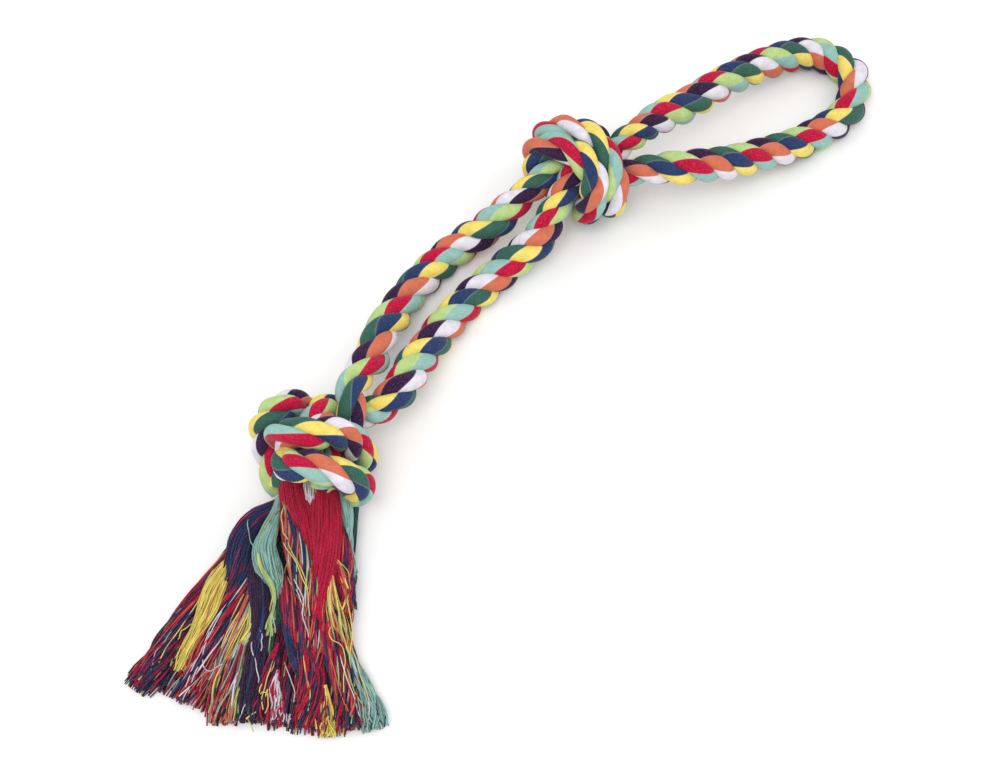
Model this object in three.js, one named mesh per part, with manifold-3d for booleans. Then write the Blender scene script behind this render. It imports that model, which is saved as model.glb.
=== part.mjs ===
// Rope dog toy: one thick three-strand rope, doubled over into a hand loop, tied in two knots,
// with both ends unlaid into a tassel of nine plies each. Lengths are in millimetres.
// The toy lies on z = 0 with its hand loop towards +X and its tassel towards -X.
// A rope's route is a list of stations. Each is written in rope diameters from its knot's centre,
// or as shares of the stretch that it belongs to.
import * as THREE from 'three';
import { mergeVertices } from 'three/addons/utils/BufferGeometryUtils.js';
import Module from 'manifold-3d';

const wasm = await Module();
wasm.setup();

// Rope
const ropeDiameter = 20;
const knotRopeShare = 0.61; // the thinnest that a turn is drawn in a knot, against the free rope
const fullTurnShare = 0.84; // the fullest that a turn stays in a knot
const bendFillShare = 0.95; // how far a turn may fill its own bend
const neighbourShare = 1.7; // how far along a turn its own next pass begins, in rope diameters
const flareShare = 1.1; // length over which a turn swells back to the free rope
const pressShare = 0.1; // how deep the rope is pressed flat where it rests
const faceGap = 0.3; // between two stretches that meet face to face
const turnGap = 0.8; // between the turns of a knot
const ropeSides = 12;
const turnSides = 8;
const plySides = 8;

// Layout on the floor
const upperKnotX = 84.3;
const upperKnotY = 43.35;
const knotSpacing = 217.2;
const knotSidestep = 11.7;
const loopReach = 176;
const loopWidth = 65;
const legBow = 14;

// Tassel
const tasselLength = 99;
const fanSwing = 31; // degrees that one rope end's plies spread over
const pliesAcross = 3;
const plyLayers = 3;
const plyGap = 1.9; // between plies where they leave the knot
const plyWaistShare = 0.24; // a ply where it leaves the knot, against the rope
const plyBellyShare = 0.285; // a ply at its fullest
const plyTipShare = 0.2; // a ply at its ragged end
const plyBellyAt = 0.6; // where along a ply its belly is, from 0 to 1
const stackShare = 1.2; // how far apart stacked plies lie at their bellies, against touching
const raggedShare = 0.1; // how much shorter the shortest ply is
const raggedOrder = 5; // ply by ply, how far the order of lengths jumps

// Steps along the stretches
const loopSteps = 44;
const legSteps = 12;
const turnSteps = 74;
const plySteps = 11;
const samplesPerRadius = 2; // points that the gaps are measured on, for each turn radius of rope

// Stations of the knots, in rope diameters from the knot's centre, going away from the hand loop
const upperTurnAShares = [
  [3, -0.75, 0.05], [2.45, -0.66, 0.12], [1.89, -0.59, 0.12], [1.35, -0.48, -0.01],
  [0.91, -0.31, -0.31], [0.53, 0.03, -0.55], [0.21, 0.44, -0.75], [0.1, 0.98, -0.71],
  [0.1, 1.36, -0.31], [0.2, 1.34, 0.23], [0.33, 0.96, 0.6], [0.38, 0.45, 0.83], [0.38, -0.11, 0.92],
  [0.32, -0.63, 0.74], [0.17, -1.09, 0.45], [-0.02, -1.36, 0.01], [0, -1.37, -0.55],
  [0.3, -1.13, -0.94], [0.7, -0.75, -1.06], [1.1, -0.36, -1.04], [1.37, 0.04, -0.77],
  [1.32, 0.28, -0.28], [0.96, 0.25, 0.14], [0.45, 0.04, 0.21], [-0.09, -0.14, 0.2],
  [-0.63, -0.25, 0.09], [-1.15, -0.33, -0.11], [-1.65, -0.41, -0.35], [-2.15, -0.5, -0.6],
];
const upperTurnBShares = [
  [1.9, -2.2, -0.05], [1.48, -1.81, -0.03], [1.06, -1.41, -0.07], [0.64, -1.03, -0.19],
  [0.21, -0.67, -0.35], [-0.18, -0.28, -0.53], [-0.48, 0.2, -0.65], [-0.6, 0.76, -0.61],
  [-0.6, 1.17, -0.21], [-0.51, 1.17, 0.34], [-0.4, 0.77, 0.73], [-0.35, 0.21, 0.87],
  [-0.38, -0.36, 0.88], [-0.51, -0.82, 0.57], [-0.64, -0.99, 0.04], [-0.6, -0.94, -0.54],
  [-0.36, -0.77, -1.03], [0.03, -0.42, -1.26], [0.46, -0.03, -1.32], [0.81, 0.39, -1.17],
  [0.89, 0.71, -0.72], [0.6, 0.77, -0.23], [0.08, 0.64, -0.03], [-0.48, 0.5, 0.05],
  [-1.05, 0.49, -0.05], [-1.58, 0.59, -0.25], [-2.12, 0.7, -0.45], [-2.65, 0.8, -0.65],
];
const lowerTurnAShares = [
  [2.95, 0.8, -0.3], [2.52, 0.64, -0.13], [2.11, 0.46, 0.07], [1.71, 0.24, 0.25], [1.33, -0.04, 0.26],
  [0.99, -0.28, 0], [0.7, -0.38, -0.38], [0.35, -0.46, -0.7], [-0.1, -0.33, -0.83],
  [-0.45, -0.04, -0.67], [-0.59, 0.2, -0.28], [-0.62, 0.36, 0.18], [-0.62, 0.38, 0.67],
  [-0.54, 0.19, 1.1], [-0.3, -0.17, 1.31], [0.04, -0.5, 1.19], [0.3, -0.7, 0.84], [0.47, -0.86, 0.41],
  [0.65, -1.02, -0.01], [0.88, -1.1, -0.43], [1.09, -0.88, -0.81], [1.16, -0.45, -1.02],
  [1.17, 0.03, -1.11], [1.05, 0.5, -1.04], [0.83, 0.84, -0.78], [0.62, 1.05, -0.4], [0.43, 1.07, 0.05],
  [0.04, 1.04, 0.32], [-0.42, 1.07, 0.21], [-0.7, 1.03, -0.18], [-0.94, 0.8, -0.54],
  [-1.15, 0.42, -0.75], [-1.36, 0.03, -0.82], [-1.73, -0.23, -0.85],
];
const lowerTurnBShares = [
  [2.8, -0.35, -0.4], [2.43, -0.37, -0.35], [2.06, -0.31, -0.37], [1.73, -0.15, -0.41],
  [1.45, 0.11, -0.42], [1.18, 0.35, -0.32], [0.92, 0.45, -0.08], [0.68, 0.36, 0.19], [0.42, 0.2, 0.42],
  [0.13, 0.02, 0.56], [-0.2, -0.17, 0.58], [-0.48, -0.4, 0.65], [-0.57, -0.75, 0.75],
  [-0.46, -1.1, 0.72], [-0.28, -1.35, 0.52], [-0.13, -1.47, 0.2], [0, -1.48, -0.15],
  [0.07, -1.38, -0.51], [0.17, -1.25, -0.85], [0.3, -1.07, -1.15], [0.43, -0.8, -1.37],
  [0.52, -0.44, -1.42], [0.48, -0.08, -1.33], [0.4, 0.18, -1.07], [0.31, 0.27, -0.72],
  [0.2, 0.17, -0.38], [0.05, -0.09, -0.16], [-0.13, -0.42, -0.12], [-0.35, -0.73, -0.14],
  [-0.55, -1.02, -0.24], [-0.75, -1.29, -0.41], [-0.95, -1.5, -0.65],
];

// Stations of the hand loop: shares of its reach and its width from the upper knot's centre,
// and the height above the resting rope in rope diameters
const loopShares = [
  [0.43, -0.29, 1.1], [0.6, -0.34, 0.825], [0.775, -0.43, 0.475], [0.93, -0.57, 0.15],
  [0.985, -0.7, 0.05], [1, -0.9, 0], [0.985, -1.09, 0], [0.94, -1.185, 0], [0.87, -1.265, 0],
  [0.81, -1.28, 0], [0.725, -1.245, 0.05], [0.595, -1.16, 0.225], [0.47, -1.02, 0.45],
  [0.345, -0.88, 0.75],
];

// Stations of the legs: the share of the way from the upper knot's exit to the lower knot's entry,
// the share of the bow to the side, and the height above the resting rope in rope diameters
const leftLegShares = [
  [0.155, 0.7, 0.05], [0.375, 1.01, 0], [0.575, 0.985, 0.125], [0.736, 0.74, 0.4], [0.885, 0.455, 0.7],
];
const rightLegShares = [
  [0.147, 0.335, 0.275], [0.281, 0.635, 0.05], [0.449, 0.82, 0], [0.622, 0.785, 0.1],
  [0.768, 0.535, 0.35], [0.883, 0.365, 0.6],
];

const ropeRadius = ropeDiameter / 2;
const turnRadius = ropeRadius * knotRopeShare;
const restHeight = ropeRadius - ropeDiameter * pressShare;
const down = -1;

// Yarn colours as they show on the toy
const yarnColours = {
  crimson: '#b80f37', navy: '#35477a', yellow: '#ecd56e', green: '#2f6d55', plum: '#43264f',
  orange: '#cf6f4c', white: '#e9e5ec', lime: '#b7d488', aqua: '#8fc7ba',
};
const yarnRoughness = 0.9;

function yarn(name) {
  return new THREE.MeshStandardMaterial({
    color: yarnColours[name], roughness: yarnRoughness, metalness: 0,
  });
}

// A knot sits with its lowest turn pressed a little flat on the floor
function knotHeight(...turns) {
  const lowest = Math.min(...turns.flat().map(([, , z]) => z));
  const pressed = knotRopeShare * ropeDiameter * pressShare;
  return turnRadius - lowest * ropeDiameter - pressed;
}

function knotStations(centre, shares) {
  return shares.map((share) => new THREE.Vector3(...share).multiplyScalar(ropeDiameter).add(centre));
}

function loopStations(knotCentre) {
  return loopShares.map(([x, y, z]) => new THREE.Vector3(
    knotCentre.x + x * loopReach, knotCentre.y + y * loopWidth, restHeight + z * ropeDiameter));
}

function legStations(exit, entry, shares) {
  return shares.map(([along, aside, high]) => {
    const place = exit.clone().lerp(entry, along);
    return place.set(place.x, place.y + aside * legBow, restHeight + high * ropeDiameter);
  });
}

// One stretch of a longer curve, from one station to another, drawn back by half a face gap
class Stretch extends THREE.Curve {
  constructor(whole, from, to) {
    super();
    const last = whole.points.length - 1;
    const perLength = (index) => {
      const at = index / last;
      const nearby = 1 / last / turnSteps;
      const early = whole.getPoint(Math.max(at - nearby, 0));
      const late = whole.getPoint(Math.min(at + nearby, 1));
      return (Math.min(at + nearby, 1) - Math.max(at - nearby, 0)) / early.distanceTo(late);
    };
    this.whole = whole;
    this.start = from / last + perLength(from) * faceGap / 2;
    this.end = to / last - perLength(to) * faceGap / 2;
  }

  getPoint(t, target) {
    return this.whole.getPoint(THREE.MathUtils.lerp(this.start, this.end, t), target);
  }
}

// A closed tube along a curve whose radius follows radiusAt(share of the way)
function windingTube(curve, steps, sides, radiusAt) {
  const frames = curve.computeFrenetFrames(steps, false);
  const positions = [];
  const faces = [];
  for (let step = 0; step <= steps; step += 1) {
    const centre = curve.getPointAt(step / steps);
    const radius = radiusAt(step / steps);
    for (let side = 0; side < sides; side += 1) {
      const angle = 2 * Math.PI * side / sides;
      const point = centre.clone()
        .addScaledVector(frames.normals[step], radius * Math.cos(angle))
        .addScaledVector(frames.binormals[step], radius * Math.sin(angle));
      positions.push(...point);
    }
  }
  for (let step = 0; step < steps; step += 1) {
    for (let side = 0; side < sides; side += 1) {
      const a = step * sides + side;
      const b = step * sides + (side + 1) % sides;
      faces.push(a, b, b + sides, a, b + sides, a + sides);
    }
  }
  for (let side = 1; side < sides - 1; side += 1) {
    const far = steps * sides;
    faces.push(0, side + 1, side);
    faces.push(far, far + side, far + side + 1);
  }
  const geometry = new THREE.BufferGeometry();
  geometry.setAttribute('position', new THREE.Float32BufferAttribute(positions, 3));
  geometry.setIndex(faces);
  return geometry;
}

// A plain tube of the free rope along a curve
function ropeTube(curve, steps) {
  const section = new THREE.Shape();
  for (let side = 0; side < ropeSides; side += 1) {
    const angle = 2 * Math.PI * side / ropeSides;
    const x = ropeRadius * Math.cos(angle);
    const y = ropeRadius * Math.sin(angle);
    if (side === 0) section.moveTo(x, y);
    else section.lineTo(x, y);
  }
  section.closePath();
  return new THREE.ExtrudeGeometry(section, { steps, extrudePath: curve, bevelEnabled: false });
}

function toManifold(geometry) {
  const bare = geometry.clone();
  bare.deleteAttribute('normal');
  bare.deleteAttribute('uv');
  const merged = mergeVertices(bare);
  return new wasm.Manifold(new wasm.Mesh({
    numProp: 3,
    vertProperties: merged.attributes.position.array,
    triVerts: Uint32Array.from(merged.index.array),
  }));
}

// Everything below the floor is cut away, which leaves a flat where the rope rests
function cutAtFloor(geometry) {
  geometry.computeBoundingBox();
  const { min, max } = geometry.boundingBox;
  if (min.z >= 0) return geometry;
  const depth = ropeDiameter;
  const slab = new THREE.BoxGeometry(max.x - min.x + depth, max.y - min.y + depth, depth);
  slab.translate((min.x + max.x) / 2, (min.y + max.y) / 2, down * depth / 2);
  const mesh = toManifold(geometry).subtract(toManifold(slab)).getMesh();
  const cut = new THREE.BufferGeometry();
  cut.setAttribute('position', new THREE.BufferAttribute(mesh.vertProperties, mesh.numProp));
  cut.setIndex(new THREE.BufferAttribute(mesh.triVerts, 1));
  return cut;
}

// A turn is full rope at both ends, where it meets the free rope, and drawn thin in between
function slenderRadius(share, length) {
  const fromEnd = Math.min(share, 1 - share) * length;
  const flare = flareShare * ropeDiameter;
  return THREE.MathUtils.lerp(ropeRadius, turnRadius, THREE.MathUtils.smoothstep(fromEnd, 0, flare));
}

// The radius of the circle through three points that follow each other
function bendRadius(before, at, after) {
  const area = new THREE.Triangle(before, at, after).getArea();
  const sides = before.distanceTo(at) * at.distanceTo(after) * after.distanceTo(before);
  return area > 0 ? sides / (4 * area) : Infinity;
}

// The turns of one knot fill out until they all but touch each other, or their own bend closes
function fullTurns(curves) {
  const turns = curves.map((curve) => {
    const length = curve.getLength();
    return curve.getSpacedPoints(turnSteps).map((point, ring) => ({
      point, along: length * ring / turnSteps, slender: slenderRadius(ring / turnSteps, length),
    }));
  });
  return turns.map((turn) => {
    const most = turn.map((ring, index) => {
      const bend = index > 0 && index < turnSteps
        ? bendRadius(turn[index - 1].point, ring.point, turn[index + 1].point)
        : Infinity;
      let room = Math.min(fullTurnShare * ropeRadius, bend * bendFillShare);
      for (const other of turns.flat()) {
        const apart = ring.point.distanceTo(other.point) - turnGap;
        const near = Math.abs(ring.along - other.along) < neighbourShare * ropeDiameter;
        if (!(turn.includes(other) && near)) room = Math.min(room, apart / 2, apart - other.slender);
      }
      return room;
    });
    const window = (list, index) => list.slice(Math.max(index - 1, 0), index + 2);
    const narrow = most.map((_, index) => Math.min(...window(most, index)));
    const smooth = narrow.map((_, index) => {
      const near = window(narrow, index);
      return near.reduce((sum, one) => sum + one, 0) / near.length;
    });
    const radii = smooth.map((radius, ring) => Math.max(radius, turn[ring].slender));
    return (share) => {
      const ring = Math.min(Math.floor(share * turnSteps), turnSteps - 1);
      return THREE.MathUtils.lerp(radii[ring], radii[ring + 1], share * turnSteps - ring);
    };
  });
}

// A ply leaves the knot slender, fills out as it untwists and thins to its ragged end
function plyRadiusAt(share) {
  const towards = share < plyBellyAt ? plyWaistShare : plyTipShare;
  const away = share < plyBellyAt
    ? 1 - share / plyBellyAt
    : (share - plyBellyAt) / (1 - plyBellyAt);
  const blend = THREE.MathUtils.smoothstep(away, 0, 1);
  return ropeRadius * THREE.MathUtils.lerp(plyBellyShare, towards, blend);
}

// The plies of one rope end leave the knot three wide and three high, fan out in the order in which
// they leave, and come down to lie beside each other: the lowest first, the highest last
function tasselRoutes(root, heading, fanMiddle) {
  const across = new THREE.Vector3().crossVectors(new THREE.Vector3(0, 0, 1), heading).normalize();
  const above = new THREE.Vector3().crossVectors(heading, across).normalize();
  const waist = plyWaistShare * ropeDiameter;
  const pitch = waist + plyGap;
  const count = pliesAcross * plyLayers;
  const routes = [];
  for (let column = 0; column < pliesAcross; column += 1) {
    for (let layer = 0; layer < plyLayers; layer += 1) {
      const order = column * plyLayers + layer;
      const bearing = fanMiddle + fanSwing * (order / (count - 1) - 1 / 2);
      const way = new THREE.Vector3(
        Math.cos(THREE.MathUtils.degToRad(bearing)), Math.sin(THREE.MathUtils.degToRad(bearing)), 0);
      const start = root.clone()
        .addScaledVector(heading, faceGap)
        .addScaledVector(across, (column - (pliesAcross - 1) / 2) * pitch)
        .addScaledVector(above, (layer - (plyLayers - 1) / 2) * pitch);
      const reach = tasselLength * (1 - raggedShare * ((order * raggedOrder) % count) / count);
      const belly = plyBellyShare * ropeRadius;
      const lying = belly + plyBellyShare * ropeDiameter * layer * stackShare;
      const tip = start.clone().addScaledVector(way, reach).setZ(belly);
      const lead = start.clone().addScaledVector(heading, ropeRadius);
      const settle = start.clone().addScaledVector(way, reach / 2).setZ(lying);
      routes.push(new THREE.CatmullRomCurve3([start, lead, settle, tip], false, 'centripetal'));
    }
  }
  return routes;
}

// The least gap between tubes, and between a tube's own passes, measured on points of their routes
function leastGap(tubes) {
  const samples = tubes.flatMap(({ curve, radiusAt }, tube) => {
    const length = curve.getLength();
    const count = Math.ceil(length / turnRadius * samplesPerRadius);
    return curve.getSpacedPoints(count).map((point, index) => ({
      point, tube, along: length * index / count, radius: radiusAt(index / count),
    }));
  });
  let least = Infinity;
  samples.forEach((one, index) => {
    for (const other of samples.slice(index + 1)) {
      const touching = one.radius + other.radius;
      const between = Math.abs(one.along - other.along);
      if (one.tube === other.tube && between < touching + touching) continue;
      least = Math.min(least, one.point.distanceTo(other.point) - touching);
    }
  });
  return least;
}

const upperHeight = knotHeight(upperTurnAShares, upperTurnBShares);
const lowerHeight = knotHeight(lowerTurnAShares, lowerTurnBShares);
const upperCentre = new THREE.Vector3(upperKnotX, upperKnotY, upperHeight);
const lowerCentre = new THREE.Vector3(
  upperKnotX - knotSpacing, upperKnotY - knotSidestep, lowerHeight);

const upperTurnA = knotStations(upperCentre, upperTurnAShares);
const upperTurnB = knotStations(upperCentre, upperTurnBShares);
const lowerTurnA = knotStations(lowerCentre, lowerTurnAShares);
const lowerTurnB = knotStations(lowerCentre, lowerTurnBShares);
const handLoop = loopStations(upperCentre);
const leftLeg = legStations(upperTurnB.at(-1), lowerTurnA[0], leftLegShares);
const rightLeg = legStations(upperTurnA.at(-1), lowerTurnB[0], rightLegShares);

// The rope is one length, from the end of the lower knot's turn b, round the loop, to turn a's end
const ropeStations = [
  ...lowerTurnB.toReversed(), ...rightLeg.toReversed(), ...upperTurnA.toReversed(), ...handLoop,
  ...upperTurnB, ...leftLeg, ...lowerTurnA,
];
const rope = new THREE.CatmullRomCurve3(ropeStations, false, 'centripetal');

// Marks where one named stretch ends and the next begins
const marks = [0];
for (const list of [lowerTurnB, rightLeg, upperTurnA, handLoop, upperTurnB, leftLeg, lowerTurnA]) {
  marks.push(marks.at(-1) + list.length);
}
const stretchEnds = {
  lower_knot_turn_b: [0, marks[1] - 1],
  leg_right: [marks[1] - 1, marks[2]],
  upper_knot_turn_a: [marks[2], marks[3] - 1],
  handle_loop: [marks[3] - 1, marks[4]],
  upper_knot_turn_b: [marks[4], marks[5] - 1],
  leg_left: [marks[5] - 1, marks[6]],
  lower_knot_turn_a: [marks[6], marks[7] - 1],
};

const toy = new THREE.Group();

function addPiece(name, geometry, colour) {
  const piece = new THREE.Mesh(geometry, yarn(colour));
  piece.name = name;
  toy.add(piece);
}

const freeSteps = { handle_loop: loopSteps, leg_right: legSteps, leg_left: legSteps };
const stretchColours = {
  handle_loop: 'aqua', leg_left: 'yellow', leg_right: 'orange', upper_knot_turn_a: 'crimson',
  upper_knot_turn_b: 'navy', lower_knot_turn_a: 'green', lower_knot_turn_b: 'plum',
};
const stretches = Object.fromEntries(Object.entries(stretchEnds).map(
  ([name, [from, to]]) => [name, new Stretch(rope, from, to)]));
const turnRadii = {};
for (const knot of ['upper', 'lower']) {
  const names = [`${knot}_knot_turn_a`, `${knot}_knot_turn_b`];
  fullTurns(names.map((name) => stretches[name])).forEach((radiusAt, index) => {
    turnRadii[names[index]] = radiusAt;
  });
}
const tubes = [];
for (const [name, curve] of Object.entries(stretches)) {
  const steps = freeSteps[name];
  const radiusAt = turnRadii[name] ?? (() => ropeRadius);
  const geometry = steps
    ? ropeTube(curve, steps)
    : windingTube(curve, turnSteps, turnSides, radiusAt);
  addPiece(name, cutAtFloor(geometry), stretchColours[name]);
  tubes.push({ curve, radiusAt, name });
}

// The plies of the two rope ends: the same nine colours, in the order in which they fan out
const fanColours = {
  a: ['plum', 'yellow', 'navy', 'white', 'aqua', 'orange', 'lime', 'green', 'crimson'],
  b: ['yellow', 'crimson', 'lime', 'plum', 'white', 'navy', 'aqua', 'orange', 'green'],
};
const fanMiddles = { a: 198, b: 223 };
const plyTubes = [];
for (const [end, at] of [['a', 1], ['b', 0]]) {
  const heading = rope.getTangent(at).multiplyScalar(at === 1 ? 1 : down);
  tasselRoutes(rope.getPoint(at), heading, fanMiddles[end]).forEach((curve, index) => {
    const geometry = windingTube(curve, plySteps, plySides, plyRadiusAt);
    const name = `tassel_${end}_${fanColours[end][index]}`;
    addPiece(name, cutAtFloor(geometry), fanColours[end][index]);
    plyTubes.push({ curve, radiusAt: plyRadiusAt, name });
  });
}

console.log('rope length', Math.round(rope.getLength()));
for (const knot of ['upper', 'lower']) {
  const turns = tubes.filter(({ name }) => name.startsWith(knot));
  console.log(`least gap in the ${knot} knot`, leastGap(turns));
}
console.log('least gap in the tassel', leastGap(plyTubes));

// The origin is the middle of the floor under the toy
const extent = new THREE.Box3().setFromObject(toy);
const middle = extent.getCenter(new THREE.Vector3());
console.log('extent', extent.min.toArray(), extent.max.toArray());
toy.position.set(down * middle.x, down * middle.y, 0);

export default toy;
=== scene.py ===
import math

import bpy
import numpy as np
from mathutils import Matrix, Vector


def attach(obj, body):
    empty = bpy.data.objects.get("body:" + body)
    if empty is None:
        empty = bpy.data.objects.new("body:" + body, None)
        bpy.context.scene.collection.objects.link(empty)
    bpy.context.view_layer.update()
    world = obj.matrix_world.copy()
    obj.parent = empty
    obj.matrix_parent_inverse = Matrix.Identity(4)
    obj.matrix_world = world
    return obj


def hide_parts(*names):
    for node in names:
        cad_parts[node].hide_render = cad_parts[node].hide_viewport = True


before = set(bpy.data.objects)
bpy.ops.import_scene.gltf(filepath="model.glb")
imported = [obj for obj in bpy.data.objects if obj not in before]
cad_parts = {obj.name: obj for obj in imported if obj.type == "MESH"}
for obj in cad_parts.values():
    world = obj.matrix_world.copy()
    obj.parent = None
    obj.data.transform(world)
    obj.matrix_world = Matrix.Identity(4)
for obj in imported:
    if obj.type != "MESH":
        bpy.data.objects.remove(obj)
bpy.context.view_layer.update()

# Camera

pictureSize = (1000, 760)
cameraPlan = {
    "target": (-0.03195, 0.00352, 0.0),
    "distance": 0.757,
    "elevation": 60.0,
    "bearing": -49.36,
    "lens": 51.84,
    "sensor": 36.0,
    "clipStart": 0.01,
}


def placeCamera(plan):
    tilt = math.radians(plan["elevation"])
    turn = math.radians(plan["bearing"])
    right = Vector((math.cos(turn), math.sin(turn), 0))
    away = Vector((-math.sin(turn), math.cos(turn), 0))
    back = away * -math.cos(tilt) + Vector((0, 0, math.sin(tilt)))
    up = back.cross(right)
    camera = bpy.data.objects.new("camera", bpy.data.cameras.new("camera"))
    camera.data.lens = plan["lens"]
    camera.data.sensor_width = plan["sensor"]
    camera.data.clip_start = plan["clipStart"]
    place = Matrix((right, up, back)).transposed().to_4x4()
    place.translation = Vector(plan["target"]) + back * plan["distance"]
    camera.matrix_world = place
    bpy.context.scene.collection.objects.link(camera)
    bpy.context.scene.camera = camera


placeCamera(cameraPlan)
print("camera placed")

# The rope's route: stations from each knot's centre in rope diameters, and along the hand loop and
# the legs in shares of their reach, width and bow

ropeLook = {
    "diameter": 0.02,
    "upperKnot": (0.08435, 0.04782, 0.03128),
    "lowerKnot": (-0.13285, 0.03612, 0.03328),
    "loopReach": 0.176,
    "loopWidth": 0.065,
    "legBow": 0.014,
    "restHeight": 0.008,
    "step": 0.001,
    "strandSides": 36,
    "strandOffset": 0.24,
    "strandRadius": 0.25,
    "plyGroove": 0.05,
    "knotFill": 0.82,
    "swell": 0.022,
    "legRun": 3,
    "laySoftening": 5,
    "plySoftening": 8,
}

upperTurnA = [
    (3, -0.75, 0.05), (2.46, -0.65, 0.12), (1.91, -0.59, 0.12), (1.38, -0.46, 0.04),
    (0.92, -0.34, -0.23), (0.55, -0.03, -0.49), (0.25, 0.36, -0.72), (0.14, 0.89, -0.71),
    (0.16, 1.27, -0.33), (0.24, 1.25, 0.21), (0.34, 0.86, 0.57), (0.41, 0.38, 0.83),
    (0.43, -0.16, 0.9), (0.33, -0.67, 0.72), (0.17, -1.11, 0.43), (-0.04, -1.33, -0.02),
    (-0.02, -1.27, -0.56), (0.22, -1, -0.96), (0.6, -0.65, -1.14), (1, -0.28, -1.05),
    (1.26, 0.07, -0.73), (1.24, 0.27, -0.23), (0.88, 0.22, 0.17), (0.38, -0, 0.23),
    (-0.14, -0.18, 0.22), (-0.67, -0.27, 0.1), (-1.17, -0.35, -0.12), (-1.66, -0.41, -0.36),
    (-2.15, -0.5, -0.6),
]
upperTurnB = [
    (1.9, -2.2, -0.05), (1.48, -1.81, -0.02), (1.07, -1.4, -0.03), (0.65, -1.03, -0.13),
    (0.23, -0.68, -0.3), (-0.15, -0.29, -0.48), (-0.42, 0.18, -0.66), (-0.54, 0.73, -0.62),
    (-0.5, 1.09, -0.19), (-0.42, 1.02, 0.35), (-0.32, 0.57, 0.69), (-0.26, 0.04, 0.89),
    (-0.34, -0.52, 0.91), (-0.48, -0.95, 0.57), (-0.67, -1.07, 0.05), (-0.64, -0.93, -0.5),
    (-0.43, -0.69, -0.97), (-0.07, -0.33, -1.23), (0.36, 0.04, -1.32), (0.75, 0.42, -1.18),
    (0.86, 0.7, -0.71), (0.58, 0.71, -0.22), (0.07, 0.55, -0.04), (-0.49, 0.43, -0),
    (-1.05, 0.48, -0.09), (-1.59, 0.6, -0.25), (-2.12, 0.7, -0.46), (-2.65, 0.8, -0.65),
]
lowerTurnA = [
    (2.95, 0.8, -0.3), (2.51, 0.65, -0.15), (2.09, 0.48, 0.04), (1.68, 0.3, 0.23),
    (1.31, -0, 0.25), (1.01, -0.24, -0.01), (0.73, -0.31, -0.41), (0.36, -0.34, -0.71),
    (-0.1, -0.21, -0.74), (-0.41, 0.08, -0.52), (-0.5, 0.35, -0.12), (-0.54, 0.49, 0.34),
    (-0.55, 0.42, 0.82), (-0.46, 0.07, 1.13), (-0.17, -0.31, 1.18), (0.2, -0.56, 1),
    (0.47, -0.73, 0.63), (0.59, -0.83, 0.19), (0.68, -0.9, -0.27), (0.69, -0.86, -0.78),
    (0.75, -0.55, -1.15), (0.87, -0.12, -1.26), (0.97, 0.29, -1.21), (0.88, 0.69, -0.96),
    (0.7, 0.94, -0.59), (0.52, 1.04, -0.15), (0.37, 0.98, 0.31), (0.04, 1, 0.61),
    (-0.35, 1.15, 0.4), (-0.58, 1.13, -0.02), (-0.71, 0.93, -0.44), (-0.87, 0.59, -0.76),
    (-1.05, 0.18, -0.94),
]
lowerTurnB = [
    (2.8, -0.35, -0.4), (2.38, -0.39, -0.34), (1.96, -0.36, -0.39), (1.61, -0.15, -0.45),
    (1.33, 0.16, -0.42), (1.06, 0.4, -0.22), (0.8, 0.43, 0.1), (0.54, 0.25, 0.38),
    (0.17, 0.13, 0.53), (-0.2, -0.07, 0.51), (-0.61, -0.13, 0.48), (-0.98, -0.14, 0.64),
    (-1.02, -0.42, 0.92), (-0.78, -0.75, 1.01), (-0.56, -1.09, 0.91), (-0.37, -1.37, 0.66),
    (-0.18, -1.53, 0.32), (-0.06, -1.55, -0.08), (-0.04, -1.45, -0.49), (-0.03, -1.25, -0.87),
    (0.02, -0.97, -1.18), (0.12, -0.62, -1.39), (0.23, -0.22, -1.42), (0.27, 0.15, -1.23),
    (0.31, 0.33, -0.86), (0.27, 0.28, -0.45), (0.18, -0.01, -0.16), (0.02, -0.38, -0.05),
    (-0.22, -0.73, -0.04), (-0.5, -1.04, -0.12),
]
loopWay = [
    (0.43, -0.29, 1.1), (0.6, -0.34, 0.825), (0.775, -0.43, 0.475), (0.93, -0.57, 0.15),
    (0.985, -0.7, 0.05), (1, -0.9, 0), (0.985, -1.09, 0), (0.94, -1.185, 0),
    (0.87, -1.265, 0), (0.81, -1.28, 0), (0.725, -1.245, 0.05), (0.595, -1.16, 0.225),
    (0.47, -1.02, 0.45), (0.345, -0.88, 0.75),
]
leftLegWay = [
    (0.155, 0.7, 0.05), (0.375, 1.01, 0), (0.575, 0.985, 0.125), (0.736, 0.74, 0.4), (0.885, 0.455, 0.7),
]
rightLegWay = [
    (0.147, 0.335, 0.275), (0.281, 0.635, 0.05), (0.449, 0.82, 0), (0.622, 0.785, 0.1), (0.768, 0.535, 0.35),
    (0.883, 0.365, 0.6),
]

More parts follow.
